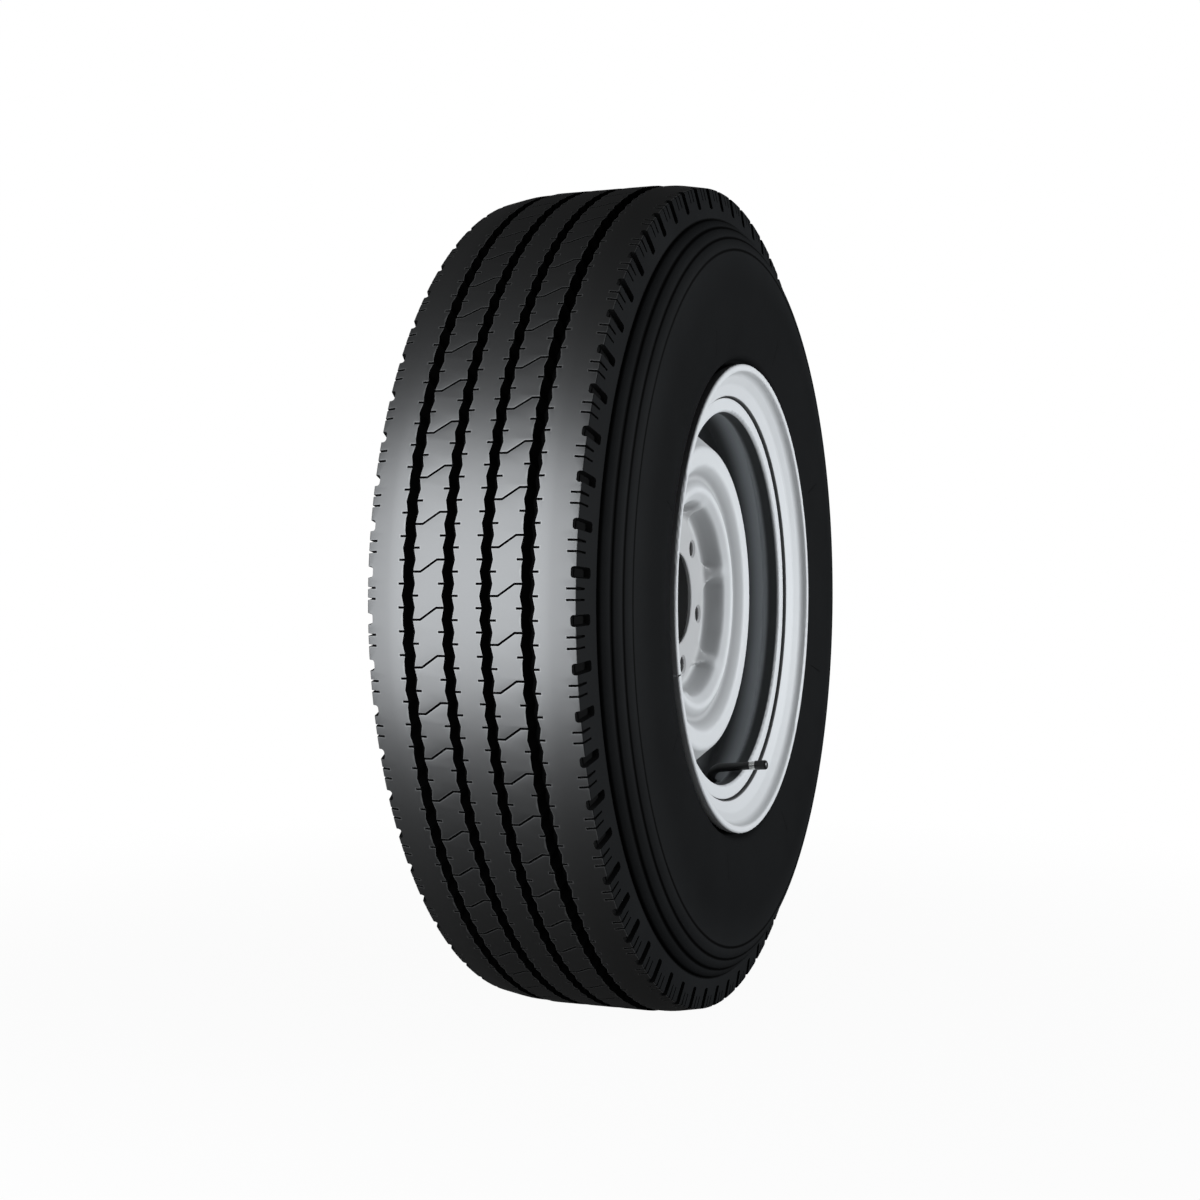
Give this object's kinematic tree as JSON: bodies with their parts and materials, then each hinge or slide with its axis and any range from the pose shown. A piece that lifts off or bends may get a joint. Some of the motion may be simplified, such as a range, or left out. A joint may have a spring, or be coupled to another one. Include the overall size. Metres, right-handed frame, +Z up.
{
  "type": "light truck tyre and steel wheel",
  "caption": "Rib-tread light truck tyre mounted on a silver pressed steel wheel with a detachable side ring, tube and long rubber valve; bolts to a hub and rolls.",
  "frame": {"origin": "middle of the wheel, on the spin axis, half way between the two sidewalls", "axes": "+Y along the spin axis towards the vehicle, so the wheel's outer face looks to -Y; +Z up; +X across the wheel"},
  "size_m": [0.805, 0.2398, 0.805],
  "materials": {
    "tyre_rubber": "satin moulded rubber",
    "tube_rubber": "soft butyl rubber",
    "flap_rubber": "dusty rubber",
    "wheel_paint": "silver enamel",
    "stem_rubber": "smooth moulded rubber",
    "valve_metal": "nickel plated",
    "core_brass": "turned",
    "core_seal": "soft seal",
    "spring_steel": "drawn wire",
    "cap_plastic": "moulded"
  },
  "bodies": {
    "wheel": {"tyre": "tyre_rubber", "inner_tube": "tube_rubber", "rim_flap": "flap_rubber", "rim_base": "wheel_paint", "side_ring": "wheel_paint", "wheel_disc": "wheel_paint", "valve_stem": "stem_rubber", "valve_tip": "valve_metal", "valve_core_body": "core_brass", "valve_core_gasket": "core_seal", "valve_core_spring": "spring_steel"},
    "cap": {"valve_cap": "cap_plastic", "valve_cap_seal": "core_seal"},
    "pin": {"valve_core_pin": "core_brass", "valve_core_cup": "core_seal"}
  },
  "joints": [
    {"name": "valve_cap_off", "type": "slide", "parent": "wheel", "child": "cap", "axis": [-0.0283, -0.9945, 0.1006], "range_m": [0, 0.018]},
    {"name": "valve_pin_press", "type": "slide", "parent": "wheel", "child": "pin", "axis": [0.0283, 0.9945, -0.1006], "range_m": [0, 0.0015], "stiffness_N_per_m": 600, "springref_m": -0.001, "deforming": ["valve_core_spring"]}
  ]
}
